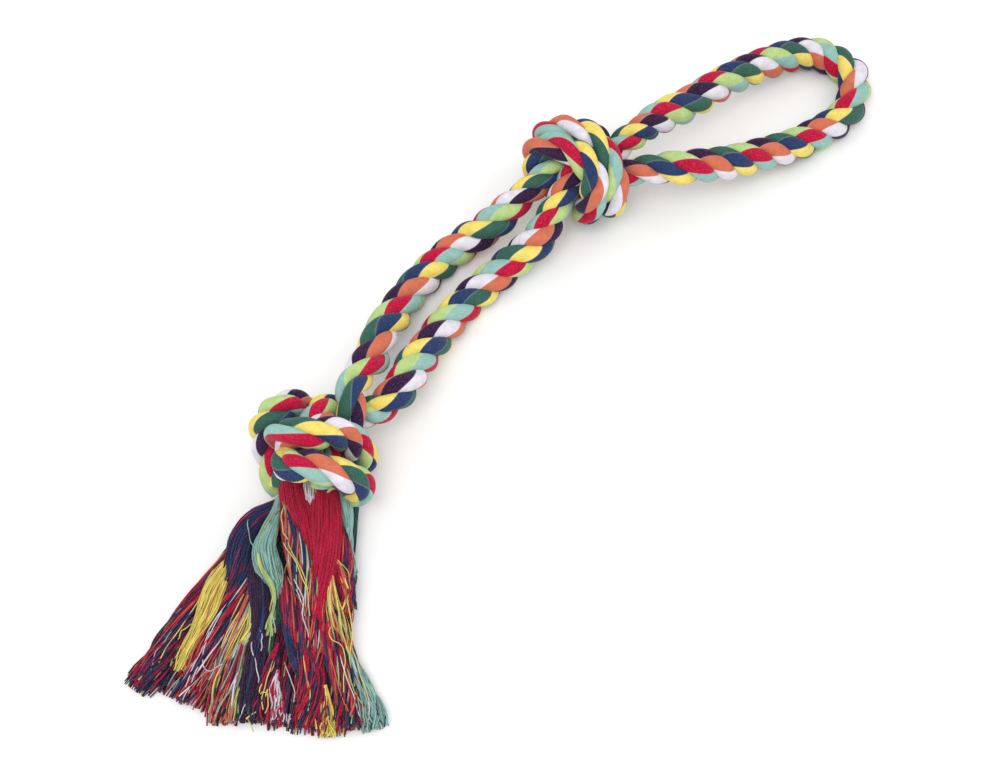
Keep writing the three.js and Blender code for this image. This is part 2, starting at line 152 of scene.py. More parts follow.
# Where a strand faces up to the camera: metres along the rope, turns of its lay, and how far its
# plies have run ahead of it. The plies are twisted against the lay.
strandBands = {
    "A": [
        (0, -2.55, 0.68), (0.108, 0.02, 0.38), (0.15, 1.18, 0.35), (0.206, 2.57, 0.32),
        (0.229, 3.58, -0.18), (0.273, 4.57, -0.26), (0.318, 5.58, -0.54), (0.356, 6.58, -0.94),
        (0.393, 7.57, -1.19), (0.539, 11.37, -1.09), (0.586, 12.14, -1.72), (0.658, 14.13, -2.07),
        (0.694, 15.15, -2.37), (0.743, 16.15, -2.53), (0.786, 17.18, -2.64), (0.822, 18.19, -2.78),
        (0.865, 19.02, -2.97), (0.905, 19.98, -3.54), (0.945, 20.97, -3.56), (0.988, 21.96, -3.58),
        (1.072, 23.94, -3.62), (1.12, 24.7, -4.13), (1.251, 27.48, -4.8), (1.29, 28.48, -4.97),
        (1.332, 29.49, -5.22), (1.382, 30.51, -5.48), (1.439, 31.57, -5.53), (1.545, 33.2, -5.88),
        (1.671, 35.91, -6.02), (1.713, 36.87, -6.22),
    ],
    "B": [
        (0.124, 0.38, -0.25), (0.243, 3.9, -0.83), (0.289, 4.9, -0.91), (0.331, 5.91, -1.17),
        (0.37, 6.91, -1.31), (0.404, 7.91, -1.65), (0.504, 10.64, -1.38), (0.556, 11.67, -1.5),
        (0.665, 14.46, -1.57), (0.71, 15.47, -1.73), (0.755, 16.49, -1.85), (0.798, 17.53, -1.94),
        (0.834, 18.44, -2.11), (0.877, 19.34, -2.33), (0.917, 20.31, -2.55), (0.957, 21.3, -2.58),
        (1, 22.29, -2.58), (1.086, 24.11, -3.11), (1.134, 25.07, -3.12), (1.264, 27.82, -2.9),
        (1.305, 28.82, -3.23), (1.347, 29.83, -3.47), (1.403, 30.86, -3.48), (1.511, 32.83, -4.33),
        (1.561, 33.61, -5.2), (1.644, 35.12, -5.6), (1.683, 36.16, -6.17),
    ],
    "C": [
        (0.139, 0.71, -0.25), (0.195, 2.18, -0.97), (0.22, 3.24, -0.85), (0.257, 4.21, -0.88),
        (0.304, 5.24, -0.95), (0.345, 6.25, -1.24), (0.382, 7.24, -1.45), (0.524, 11.04, -2.26),
        (0.571, 11.96, -2.57), (0.68, 14.82, -3.37), (0.725, 15.81, -3.54), (0.772, 16.83, -3.67),
        (0.81, 17.87, -3.93), (0.849, 18.74, -4.19), (0.891, 19.66, -4.51), (0.931, 20.64, -4.55),
        (0.972, 21.63, -4.58), (1.105, 24.39, -5.08), (1.155, 25.56, -5.05), (1.242, 27.16, -4.84),
        (1.277, 28.15, -4.87), (1.319, 29.15, -5.26), (1.366, 30.17, -5.42), (1.421, 31.18, -5.64),
        (1.532, 32.87, -5.93), (1.578, 34.01, -6.15), (1.662, 35.57, -6.69), (1.696, 36.47, -6.9),
    ],
}


def fromKnot(centre, stations):
    return [np.array(centre) + np.array(place) * ropeLook["diameter"] for place in stations]


def legPoints(leave, enter, stations):
    points = []
    for along, aside, high in stations:
        place = leave + (enter - leave) * along
        lift = ropeLook["restHeight"] + high * ropeLook["diameter"]
        points.append(np.array((place[0], place[1] + aside * ropeLook["legBow"], lift)))
    return points


def loopPoints(knot, stations):
    rise = ropeLook["restHeight"]
    return [np.array((knot[0] + x * ropeLook["loopReach"], knot[1] + y * ropeLook["loopWidth"],
                      rise + z * ropeLook["diameter"])) for x, y, z in stations]


def curveThrough(points, fineness=24):
    points = [2 * points[0] - points[1], *points, 2 * points[-1] - points[-2]]
    found = []
    for index in range(1, len(points) - 2):
        before, start, end, after = points[index - 1:index + 3]
        lead, span, trail = (math.sqrt(np.linalg.norm(b - a)) for a, b in
                             ((before, start), (start, end), (end, after)))
        leave = ((start - before) / lead - (end - before) / (lead + span) + (end - start) / span) * span
        enter = ((end - start) / span - (after - start) / (span + trail) + (after - end) / trail) * span
        for part in np.arange(fineness) / fineness:
            square = 3 * (end - start) - 2 * leave - enter
            cube = 2 * (start - end) + leave + enter
            found.append(start + leave * part + square * part ** 2 + cube * part ** 3)
    found.append(points[-2])
    return np.array(found)


def evenPoints(points, step):
    along = np.concatenate(([0], np.cumsum(np.linalg.norm(np.diff(points, axis=0), axis=1))))
    even = np.linspace(0, along[-1], int(round(along[-1] / step)) + 1)
    return even, np.stack([np.interp(even, along, column) for column in points.T], axis=1)


def unit(vectors):
    return vectors / np.linalg.norm(vectors, axis=-1, keepdims=True)


def steadyFrames(points):
    ways = unit(np.gradient(points, axis=0))
    sides = np.zeros_like(ways)
    side = np.array((0.0, 0.0, 1.0))
    for index, way in enumerate(ways):
        side = side - way * (side @ way)
        side = side / np.linalg.norm(side)
        sides[index] = side
    return ways, sides, np.cross(ways, sides)


def softened(values, reach):
    tail = 3 * reach
    weights = np.exp(-0.5 * (np.arange(-tail, tail + 1) / reach) ** 2)
    padded = np.pad(values, tail, mode="reflect", reflect_type="odd")
    return np.convolve(padded, weights / weights.sum(), mode="valid")


upperA = fromKnot(ropeLook["upperKnot"], upperTurnA)
upperB = fromKnot(ropeLook["upperKnot"], upperTurnB)
lowerA = fromKnot(ropeLook["lowerKnot"], lowerTurnA)
lowerB = fromKnot(ropeLook["lowerKnot"], lowerTurnB)
runs = {
    "lower_knot_turn_b": lowerB[::-1],
    "leg_right": legPoints(upperA[-1], lowerB[0], rightLegWay)[::-1],
    "upper_knot_turn_a": upperA[::-1],
    "handle_loop": loopPoints(ropeLook["upperKnot"], loopWay),
    "upper_knot_turn_b": upperB,
    "leg_left": legPoints(upperB[-1], lowerA[0], leftLegWay),
    "lower_knot_turn_a": lowerA,
}
ropeAlong, ropeLine = evenPoints(curveThrough([p for run in runs.values() for p in run]), ropeLook["step"])
ropeWay, ropeSide, ropeUp = steadyFrames(ropeLine)


def nearestStep(point):
    return int(np.argmin(np.linalg.norm(ropeLine - point, axis=1)))


stretches = {}
for name in ("lower_knot_turn_b", "upper_knot_turn_a", "upper_knot_turn_b", "lower_knot_turn_a"):
    stretches[name] = (nearestStep(runs[name][0]), nearestStep(runs[name][-1]))
# The left leg runs a few steps into both knots
upperFirst, upperLast = stretches["upper_knot_turn_b"]
lowerFirst, lowerLast = stretches["lower_knot_turn_a"]
stretches["upper_knot_turn_b"] = (upperFirst, upperLast - ropeLook["legRun"])
stretches["lower_knot_turn_a"] = (lowerFirst + ropeLook["legRun"], lowerLast)
stretches["leg_right"] = (stretches["lower_knot_turn_b"][1], stretches["upper_knot_turn_a"][0])
stretches["handle_loop"] = (stretches["upper_knot_turn_a"][1], stretches["upper_knot_turn_b"][0])
stretches["leg_left"] = (stretches["upper_knot_turn_b"][1], stretches["lower_knot_turn_a"][0])

# The rope is drawn a little thinner inside the knots
ropeFill = np.ones(len(ropeAlong))
for name, (first, last) in stretches.items():
    if "knot" in name:
        depth = np.minimum(ropeAlong - ropeAlong[first], ropeAlong[last] - ropeAlong)
        inside = np.clip(depth / ropeLook["swell"], 0, 1)
        ropeFill -= (1 - ropeLook["knotFill"]) * inside * inside * (3 - 2 * inside)

# Lay and ply twist at each step of the rope, eased between the bands
laySorted = sorted((along, lay) for bands in strandBands.values() for along, lay, _ in bands)
layTurns = softened(np.interp(ropeAlong, *zip(*laySorted)), ropeLook["laySoftening"])
plyTurns = {}
for strand, bands in strandBands.items():
    along, _, turns = zip(*bands)
    plyTurns[strand] = softened(np.interp(ropeAlong, along, turns), ropeLook["plySoftening"]) - layTurns

strandColours = {
    "A": ("yellow", "navy", "green"),
    "B": ("plum", "white", "orange"),
    "C": ("crimson", "lime", "aqua"),
}
strandLead = {"A": 0.0, "B": -1 / 3, "C": -2 / 3}


def strandRings(strand):
    size = ropeLook["diameter"] * ropeFill[:, None]
    lay = 2 * math.pi * (layTurns + strandLead[strand])[:, None]
    line = ropeLine + size * ropeLook["strandOffset"] * (np.cos(lay) * ropeSide + np.sin(lay) * ropeUp)
    way = unit(np.gradient(line, axis=0))
    # The least turn that takes the rope's own way to the strand's
    axis = np.cross(ropeWay, way)
    cosine = np.sum(ropeWay * way, axis=1, keepdims=True)

    def turned(vectors):
        return (vectors * cosine + np.cross(axis, vectors)
                + axis * np.sum(axis * vectors, axis=1, keepdims=True) / (1 + cosine))

    side, up = turned(ropeSide), turned(ropeUp)
    sides = ropeLook["strandSides"]
    corner = np.arange(sides) / sides
    within = (corner * len(strandColours[strand])) % 1
    dip = 1 - ropeLook["plyGroove"] * (1 - np.sqrt(np.sin(math.pi * np.clip(within, 0, 1))))
    angle = 2 * math.pi * (corner[None, :] + plyTurns[strand][:, None])
    reach = size[:, :, None] * ropeLook["strandRadius"] * dip[None, :, None]
    outward = np.cos(angle)[..., None] * side[:, None] + np.sin(angle)[..., None] * up[:, None]
    rings = line[:, None] + reach * outward
    rings[..., 2] = np.maximum(rings[..., 2], 0.0)
    return rings


ropeRings = {strand: strandRings(strand) for strand in strandColours}
print("rope laid,", round(ropeAlong[-1], 3), "m")

# Cotton yarn

yarnShades = {
    "crimson": ((0.45, 0.0, 0.036), 0.05),
    "navy": ((0.016, 0.036, 0.115), 0.04),
    "yellow": ((0.79, 0.635, 0.14), 0.03),
    "green": ((0.028, 0.105, 0.076), 0.04),
    "plum": ((0.028, 0.006, 0.042), 0.04),
    "orange": ((0.57, 0.145, 0.078), 0.04),
    "white": ((0.7, 0.66, 0.73), 0.02),
    "lime": ((0.43, 0.58, 0.215), 0.03),
    "aqua": ((0.265, 0.465, 0.415), 0.03),
}
# A noise is its scale and detail. A range is the least and most that go in, and the two they become.
yarnFinish = {
    "roughness": 0.9,
    "specular": 0.2,
    "sheen": 0.12,
    "sheenRoughness": 0.4,
    "bump": 0.35,
    "bumpDepth": 0.0004,
    "fibreTurn": 0.12,
    "fibreStretch": (14, 24, 1),
    "fibreNoise": (1.0, 3.0),
    "fibreRange": (0.3, 0.7, 0.86, 1.08),
    "fibreWeight": 0.8,
    "fleckNoise": (1300.0, 1.0),
    "fleckRange": (0.5, 0.72, 0.0, 1.0),
    "fleckShade": (0.75, 0.7, 0.72, 1.0),
    "cloudNoise": (260.0, 2.0),
    "cloudRange": (0.3, 0.7, 0.88, 1.06),
    # The pale ply edges are a painted highlight, where fuzz catches the light
    "paintedEdgeRange": (0.0, 0.07, 0.16, 0.0),
    "paintedEdgeHighlight": (0.62, 0.58, 0.6, 1.0),
}


def link(tree, source, target):
    tree.links.new(source, target)


def yarnSurface():
    tree = bpy.data.node_groups.new("cotton", "ShaderNodeTree")
    tree.interface.new_socket("Shade", in_out="INPUT", socket_type="NodeSocketColor")
    tree.interface.new_socket("Speckle", in_out="INPUT", socket_type="NodeSocketFloat")
    tree.interface.new_socket("Colour", in_out="OUTPUT", socket_type="NodeSocketColor")
    tree.interface.new_socket("Height", in_out="OUTPUT", socket_type="NodeSocketFloat")
    nodes = tree.nodes
    entry = nodes.new("NodeGroupInput")
    leave = nodes.new("NodeGroupOutput")
    place = nodes.new("ShaderNodeTexCoord")
    around = nodes.new("ShaderNodeUVMap")
    around.uv_map = "yarn"
    stretched = nodes.new("ShaderNodeMapping")
    stretched.inputs["Rotation"].default_value = (0, 0, yarnFinish["fibreTurn"])
    stretched.inputs["Scale"].default_value = yarnFinish["fibreStretch"]
    link(tree, around.outputs["UV"], stretched.inputs["Vector"])

    def noise(kind, source):
        node = nodes.new("ShaderNodeTexNoise")
        scale, detail = yarnFinish[kind]
        node.inputs["Scale"].default_value = scale
        node.inputs["Detail"].default_value = detail
        link(tree, source, node.inputs["Vector"])
        return node.outputs["Fac"]

    def ranged(source, kind):
        node = nodes.new("ShaderNodeMapRange")
        for socket, value in zip(("From Min", "From Max", "To Min", "To Max"), yarnFinish[kind]):
            node.inputs[socket].default_value = value
        link(tree, source, node.inputs["Value"])
        return node.outputs["Result"]

    def fed(socket, value):
        if isinstance(value, (tuple, float)):
            socket.default_value = value
        else:
            link(tree, value, socket)

    def reckoned(operation, first, second):
        node = nodes.new("ShaderNodeMath")
        node.operation = operation
        fed(node.inputs[0], first)
        fed(node.inputs[1], second)
        return node.outputs[0]

    def blended(kind, amount, first, second):
        node = nodes.new("ShaderNodeMix")
        node.data_type = "RGBA"
        node.blend_type = kind
        for socket, value in (("Factor_Float", amount), ("A_Color", first), ("B_Color", second)):
            fed(next(one for one in node.inputs if one.identifier == socket), value)
        return next(one for one in node.outputs if one.identifier == "Result_Color")

    fibre = noise("fibreNoise", stretched.outputs["Vector"])
    fleck = noise("fleckNoise", place.outputs["Object"])
    cloud = noise("cloudNoise", place.outputs["Object"])
    # The tint multiplies in painted shade for the tassel's lower yarns and cores, with a random tone for
    # each yarn
    tintAndPaintedShade = nodes.new("ShaderNodeAttribute")
    tintAndPaintedShade.attribute_name = "tintAndPaintedShade"
    tinted = blended("MULTIPLY", 1.0, entry.outputs["Shade"], tintAndPaintedShade.outputs["Fac"])
    cloudy = blended("MULTIPLY", 1.0, tinted, ranged(cloud, "cloudRange"))
    threads = blended("MULTIPLY", yarnFinish["fibreWeight"], cloudy, ranged(fibre, "fibreRange"))
    flecks = reckoned("MULTIPLY", ranged(fleck, "fleckRange"), entry.outputs["Speckle"])
    speckled = blended("MIX", flecks, threads, yarnFinish["fleckShade"])
    # Plies meet in a thin pale edge, a painted highlight where their fuzz catches the light
    parts = nodes.new("ShaderNodeSeparateXYZ")
    link(tree, around.outputs["UV"], parts.inputs["Vector"])
    aside = reckoned("PINGPONG", parts.outputs["Y"], 0.5)
    edgeHighlighted = blended("MIX", ranged(aside, "paintedEdgeRange"), speckled, yarnFinish["paintedEdgeHighlight"])
    heights = reckoned("ADD", fibre, fleck)
    link(tree, edgeHighlighted, leave.inputs["Colour"])
    link(tree, heights, leave.inputs["Height"])
    return tree


cotton = yarnSurface()


def yarnMaterial(name):
    shade, speckle = yarnShades[name]
    material = bpy.data.materials.new("yarn_" + name)
    material.use_nodes = True
    tree = material.node_tree
    surface = tree.nodes["Principled BSDF"]
    surface.inputs["Roughness"].default_value = yarnFinish["roughness"]
    surface.inputs["Specular IOR Level"].default_value = yarnFinish["specular"]
    surface.inputs["Sheen Weight"].default_value = yarnFinish["sheen"]
    surface.inputs["Sheen Roughness"].default_value = yarnFinish["sheenRoughness"]
    weave = tree.nodes.new("ShaderNodeGroup")
    weave.node_tree = cotton
    weave.inputs["Shade"].default_value = (*shade, 1)
    weave.inputs["Speckle"].default_value = speckle
    bump = tree.nodes.new("ShaderNodeBump")
    bump.inputs["Strength"].default_value = yarnFinish["bump"]
    bump.inputs["Distance"].default_value = yarnFinish["bumpDepth"]
    link(tree, weave.outputs["Colour"], surface.inputs["Base Color"])
    link(tree, weave.outputs["Height"], bump.inputs["Height"])
    link(tree, bump.outputs["Normal"], surface.inputs["Normal"])
    return material


yarns = {name: yarnMaterial(name) for name in yarnShades}
print("yarns mixed")


# Closed tubes from rings of points, with a colour for each side. Across a tube its yarn map starts
# at one number and is as wide as the other: a strand has one unit for each ply, and a yarn keeps
# clear of the pale edges between the plies, which are a painted highlight.

mapAcross = {"strand": (0, 3), "yarn": (0.3, 0.4)}


def tubePiece(name, tubes, colours):
    points, faces, shades, marks, rims, tints = [], [], [], [], [], []
    count = 0
    for rings, along, sideColours, tintAndPaintedShade in tubes:
        steps, sides = rings.shape[:2]
        points.append(rings.reshape(-1, 3))
        corner = np.arange(sides)
        turned = (corner + 1) % sides
        base = count + np.arange(steps - 1)[:, None] * sides
        ahead = base + sides
        quads = np.stack([base + corner, base + turned, ahead + turned, ahead + corner], axis=-1)
        faces.append(quads.reshape(-1, 4))
        shades.append(np.tile(sideColours, steps - 1))
        first, width = mapAcross["strand" if len(set(sideColours)) > 1 else "yarn"]
        low = np.tile(first + width * corner / sides, (steps - 1, 1))
        high = low + width / sides
        near = np.repeat(along[:-1, None], sides, axis=1)
        far = np.repeat(along[1:, None], sides, axis=1)
        marks.append(np.stack([near, low, near, high, far, high, far, low], axis=-1).reshape(-1, 2))
        tints.append(np.broadcast_to(tintAndPaintedShade, (steps, sides)).reshape(-1))
        rims.append((count, sides, sideColours[0]))
        rims.append((count + (steps - 1) * sides, sides, sideColours[0]))
        count += steps * sides
    mesh = bpy.data.meshes.new(name)
    every = [face for block in faces for face in block.tolist()]
    for index, (start, sides, _) in enumerate(rims):
        cap = list(range(start, start + sides))
        every.append(cap if index % 2 else cap[::-1])
    mesh.from_pydata(np.concatenate(points).tolist(), [], every)
    for colour in colours:
        mesh.materials.append(yarns[colour])
    colourIndex = np.concatenate([*shades, [rim[2] for rim in rims]]).astype(np.int32)
    mesh.polygons.foreach_set("material_index", colourIndex)
    mesh.polygons.foreach_set("use_smooth", np.ones(len(every), bool))
    layer = mesh.uv_layers.new(name="yarn")
    spots = np.concatenate([*marks, np.zeros((sum(rim[1] for rim in rims), 2))])
    layer.data.foreach_set("uv", spots.ravel())
    shading = mesh.attributes.new("tintAndPaintedShade", "FLOAT", "POINT")
    shading.data.foreach_set("value", np.concatenate(tints))
    owner = np.full(count, -1)
    for index, (start, sides, _) in enumerate(rims):
        owner[start:start + sides] = index
    edges = np.zeros(len(mesh.edges) * 2, np.int32)
    mesh.edges.foreach_get("vertices", edges)
    edges = owner[edges.reshape(-1, 2)]
    sharp = mesh.attributes.new("sharp_edge", "BOOLEAN", "EDGE")
    sharp.data.foreach_set("value", (edges[:, 0] >= 0) & (edges[:, 0] == edges[:, 1]))
    mesh.update()
    piece = bpy.data.objects.new(name, mesh)
    bpy.context.scene.collection.objects.link(piece)
    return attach(piece, "root") or piece


# The tassel lies in locks of yarn, the lowest first. Each lock has its ply, the colours of its yarns
# with their weights, how many yarns it has, its turns of twist, its thickness against its width, and
# its way: across and down in the picture's pixels, then height and width in millimetres. A loose yarn
# has its ply, its colour and its way in the picture, and lies on the locks.

# A pair is the least amount and the most that is added to it
tasselLook = {
    "yarn": 0.00037,
    "girth": (0.8, 0.4),
    "steps": 24,
    "sides": 4,
    "lockStep": 0.002,
    "goldenAngle": 2.39996,
    "spread": (0.35, 0.65),
    "wander": 0.0005,
    "wanderTurns": (0.5, 1.5),
    "wanderStart": 0.4,
    "swayWaves": (1, 1),
    "liftWaves": (1.5, 2),
    "stray": 0.003,
    "ragged": 0.13,
    "mapShift": 50,
    "seed": 7,
}
# The core lies in the middle of a lock
coreLook = {
    "share": 0.84,
    "end": 0.9,
    "taper": 0.98,
    "sides": 12,
    "lowest": 0.0003,
    "mapLength": 20,
}
# A pair is for a lock of one colour, which is smooth, and for a mixed one, which is full of shadow.
# The core tint and the shade are painted shade, darkening a lock's core and its lower yarns where shadow
# falls.
lockShading = {
    "coreShadowTint": (0.9, 0.45),
    "shade": (0.2, 0.4),
    "grain": (0.14, 0.34),
    "brightest": 1.1,
}
looseLook = {
    "radius": 0.00027,
    "tintAndPaintedShade": 0.9,
    "step": 0.0015,
    "sink": 0.0012,
    "rise": 0.0007,
    "startHeight": 0.01,
    "settlings": 6,
    "curl": 0.0004,
    "curlWaves": (2, 1),
}
tasselLocks = [
    ("a_plum", "plum 5 crimson 4 navy 4 orange 1", 70, 0.3, 0.45, [
        (282, 503, 12, 4), (260, 540, 9, 6.4), (227, 587, 5, 10.5), (190, 630, 4, 13.7),
        (158, 665, 3, 15.3), (138, 688, 2.5, 14.5),
    ]),
    ("a_navy", "plum 6 navy 5 crimson 3 aqua 1", 60, 0.3, 0.45, [
        (282, 507, 11, 4), (263, 545, 8, 6.4), (237, 597, 5, 9.7), (203, 643, 3.5, 12.1),
        (170, 698, 2.5, 13.7),
    ]),
    ("a_white", "plum 5 orange 4 crimson 5 white 2", 60, 0.3, 0.45, [
        (283, 508, 11, 4), (267, 550, 8, 6.4), (243, 603, 5, 9.7), (217, 653, 3.5, 12.1),
        (190, 708, 2.5, 13.7),
    ]),
    ("a_lime", "plum 3 lime 3 orange 3 aqua 2 crimson 3 yellow 1", 60, 0.3, 0.45, [
        (285, 510, 11, 4), (270, 553, 8, 6.4), (253, 610, 5, 9.7), (235, 660, 3.5, 12.1),
        (218, 720, 2.5, 14.5),
    ]),
    ("a_green", "plum 6 green 3 navy 4 lime 1", 60, 0.2, 0.45, [
        (287, 510, 11, 4), (277, 553, 8, 6.4), (270, 603, 5, 9.7), (258, 662, 3.5, 11.3),
        (243, 722, 2.5, 12.9),
    ]),
    ("b_plum", "plum 6 crimson 5 yellow 1 navy 2", 60, 0.3, 0.45, [
        (310, 510, 12, 4), (290, 557, 9, 7.2), (282, 612, 5, 9.7), (272, 665, 3.5, 12.1),
        (263, 725, 2.5, 13.7),
    ]),
    ("b_white", "plum 3 crimson 6 white 2 lime 1 yellow 1 navy 2", 60, 0.3, 0.45, [
        (315, 510, 12, 4.8), (302, 563, 9, 7.2), (293, 617, 5, 9.7), (288, 670, 3.5, 12.1),
        (283, 730, 2.5, 13.7),
    ]),
    ("b_crimson", "crimson 8 orange 1 plum 4 navy 2", 60, 0.3, 0.45, [
        (322, 510, 12, 4.8), (315, 563, 9, 8.1), (312, 617, 5, 10.5), (308, 670, 3.5, 12.9),
        (305, 735, 2.5, 14.5),
    ]),
    ("b_orange", "plum 4 orange 3 crimson 5 yellow 2 lime 1", 60, 0.3, 0.45, [
        (328, 510, 12, 4.8), (325, 563, 9, 8.1), (325, 617, 5, 10.5), (328, 670, 3.5, 12.1),
        (330, 737, 2.5, 14.5),
    ]),
    ("b_aqua", "plum 3 aqua 3 orange 3 crimson 5 navy 3 lime 1", 60, 0.3, 0.45, [
        (338, 510, 12, 4.8), (335, 563, 8, 7.2), (337, 617, 5, 8.9), (347, 670, 3.5, 11.3),
        (357, 730, 2.5, 14.5),
    ]),
    ("a_plum", "plum 5 crimson 5 navy 5 orange 1 yellow 1", 110, 0.45, 0.6, [
        (237, 540, 9, 2.4), (220, 567, 10, 6.4), (198, 597, 8, 9.7), (180, 625, 6, 12.1),
        (160, 655, 5, 12.1), (133, 690, 3, 8.9),
    ]),
    ("a_yellow", "yellow 24 orange 1", 90, 0.2, 0.6, [
        (239, 537, 8, 1.6), (230, 558, 10, 4), (221, 574, 11, 8.5), (212, 593, 11, 10.5),
        (207, 610, 10, 9.7), (198, 630, 8, 6.1), (187, 650, 6, 5.8), (178, 672, 4, 8.9),
    ]),
    ("a_navy", "navy 20 plum 3 crimson 2", 150, 0.25, 0.75, [
        (279, 502, 16, 4), (268, 510, 17, 7.2), (255, 520, 16, 11.3), (244, 537, 14, 13.3),
        (239, 557, 12, 12.9), (236, 577, 10, 10.5), (231, 593, 7, 6.4), (227, 607, 4, 2.4),
    ]),
    ("a_green", "green 8 navy 2", 40, 0.2, 0.6, [
        (275, 513, 14, 4), (265, 525, 13, 6.4), (258, 540, 11, 7.2), (253, 563, 8, 4.8),
        (252, 577, 6, 1.6),
    ]),
    ("a_white", "plum 4 crimson 9 orange 3 navy 3 white 1", 110, 0.5, 0.55, [
        (252, 553, 8, 3.2), (242, 578, 9, 8.1), (229, 603, 8, 10.1), (217, 630, 7, 10.5),
        (201, 665, 5, 11.3), (182, 702, 3, 12.1),
    ]),
    ("a_lime", "plum 4 orange 4 lime 2 crimson 4 aqua 2 white 1 yellow 1", 120, 0.4, 0.55, [
        (253, 580, 7, 3.2), (245, 608, 8, 8.9), (236, 637, 7, 11.3), (230, 662, 6, 12.1),
        (225, 690, 4, 12.9), (222, 725, 3, 13.7),
    ]),
    ("a_lime", "lime 7 yellow 4 white 1", 26, 0.3, 0.6, [
        (253, 587, 10, 0.8), (252, 613, 10, 3.5), (251, 630, 9, 4.3), (241, 647, 7, 3.5),
        (238, 670, 5, 4.3), (230, 715, 4, 5.6),
    ]),
    ("a_green", "plum 20 navy 3", 150, 0.15, 0.7, [
        (257, 553, 11, 3.2), (258, 577, 12, 10.1), (261, 600, 11, 10.9), (262, 620, 10, 10.1),
        (258, 645, 8, 8.5), (253, 677, 6, 9.7), (247, 723, 3, 9.7),
    ]),
    ("a_aqua", "aqua 24 lime 1", 140, 0.2, 0.75, [
        (279, 497, 19, 1.9), (276, 512, 19, 4), (269, 532, 19, 8.5), (265, 548, 18, 11.1),
        (267, 563, 17, 12.1), (272, 577, 14, 9.3), (278, 589, 11, 4.8), (282, 603, 9, 1.1),
    ]),
    ("a_green", "green 6 navy 3 lime 1", 40, 0.15, 0.6, [
        (270, 563, 11, 2.4), (272, 587, 12, 4.5), (274, 612, 10, 5.6), (270, 633, 8, 4.8),
        (267, 655, 5, 3.2), (265, 670, 4, 0.8),
    ]),
    ("a_aqua", "lime 3 yellow 2 white 1", 9, 0.3, 0.8, [
        (258, 553, 22, 0.5), (262, 570, 21, 1.1), (271, 583, 17, 1.3), (274, 600, 15, 1.4),
        (271, 617, 13, 1.6), (269, 637, 11, 1.8),
    ]),
    ("a_orange", "plum 3 orange 7 navy 4 crimson 4 lime 1 white 1", 170, 0.9, 0.75, [
        (282, 502, 24, 1.1), (287, 520, 22, 6.4), (293, 540, 20, 10.1), (300, 563, 18, 12.1),
        (307, 585, 15, 11.7), (311, 608, 12, 9.7), (314, 633, 10, 8.5), (316, 658, 8, 6.4),
        (317, 675, 6, 1.6),
    ]),
    ("a_crimson", "crimson 1", 200, 0.1, 0.8, [
        (291, 473, 21, 9.7), (292, 485, 21, 13.3), (296, 503, 20, 14.5), (303, 525, 19, 13.7),
        (309, 547, 17, 10.5), (311, 567, 15, 7.2), (311, 590, 12, 4), (310, 607, 10, 1),
    ]),
    ("a_crimson", "crimson 13 navy 3 orange 2 plum 3", 150, 0.5, 0.6, [
        (284, 575, 10, 2.4), (290, 600, 12, 8.9), (297, 625, 11, 11.7), (305, 653, 9, 12.5),
        (312, 680, 7, 12.1), (309, 727, 4, 13.7),
    ]),
    ("b_crimson", "crimson 1", 220, 0.12, 0.8, [
        (325, 473, 22, 8.9), (324, 485, 22, 12.5), (325, 507, 21, 14.5), (326, 532, 19, 15.3),
        (325, 557, 17, 14.5), (322, 582, 14, 11.3), (318, 607, 12, 8.1), (318, 637, 10, 4),
        (318, 652, 8, 1.1),
    ]),
    ("b_crimson", "crimson 9 orange 3 plum 4 navy 2", 90, 0.5, 0.6, [
        (338, 520, 14, 2.4), (342, 542, 15, 6.8), (345, 563, 14, 7.6), (345, 583, 12, 7.2),
        (342, 607, 9, 4.8), (342, 623, 7, 1.1),
    ]),
    ("b_aqua", "aqua 1", 110, 0.1, 0.8, [
        (336, 480, 18, 5.6), (342, 492, 18, 8.1), (345, 505, 17, 7.2), (348, 520, 15, 4.8),
        (349, 537, 13, 2.7), (350, 557, 11, 1.4), (350, 577, 9, 0.6),
    ]),
    ("b_green", "navy 8 green 6", 60, 0.2, 0.7, [
        (352, 488, 14, 4), (354, 503, 13, 4.5), (353, 520, 11, 3.9), (352, 542, 9, 2.9),
        (351, 567, 7, 2.6), (350, 593, 6, 2.9), (350, 610, 5, 0.8),
    ]),
    ("b_navy", "plum 4 navy 5 crimson 5 orange 2", 90, 0.5, 0.55, [
        (342, 548, 12, 1.6), (345, 568, 13, 6.8), (347, 590, 11, 7.2), (346, 612, 9, 5.2),
        (344, 633, 7, 1.6),
    ]),
    ("b_navy", "navy 12 crimson 2 plum 3", 44, 0.2, 0.6, [
        (282, 613, 10, 0.8), (287, 630, 12, 3.5), (292, 648, 11, 4.8), (298, 667, 9, 4),
        (302, 682, 8, 1.1),
    ]),
    ("b_lime", "plum 2 lime 8 yellow 5 orange 4", 46, 0.3, 0.6, [
        (331, 563, 17, 0.8), (330, 577, 16, 3.5), (332, 600, 14, 6.1), (338, 620, 12, 7.7),
        (344, 638, 10, 5.6), (349, 658, 7, 4), (352, 675, 6, 1.3),
    ]),
    ("b_lime", "orange 5 crimson 4 yellow 2", 24, 0.3, 0.6, [
        (334, 557, 18, 0.6), (341, 570, 17, 2.4), (345, 585, 15, 3.2), (347, 603, 12, 2.9),
        (348, 618, 10, 1),
    ]),
    ("b_orange", "plum 4 orange 4 crimson 8 navy 3 lime 1", 130, 0.4, 0.55, [
        (324, 607, 10, 2.4), (330, 637, 11, 8.9), (338, 663, 9, 10.5), (346, 690, 6, 11.3),
        (351, 730, 4, 13.7),
    ]),
    ("b_aqua", "aqua 14 lime 2 white 1 navy 1", 90, 0.3, 0.55, [
        (344, 635, 8, 1.3), (352, 662, 8, 4.8), (362, 683, 6, 6.4), (371, 703, 5, 8.1),
        (377, 730, 3, 12.1),
    ]),
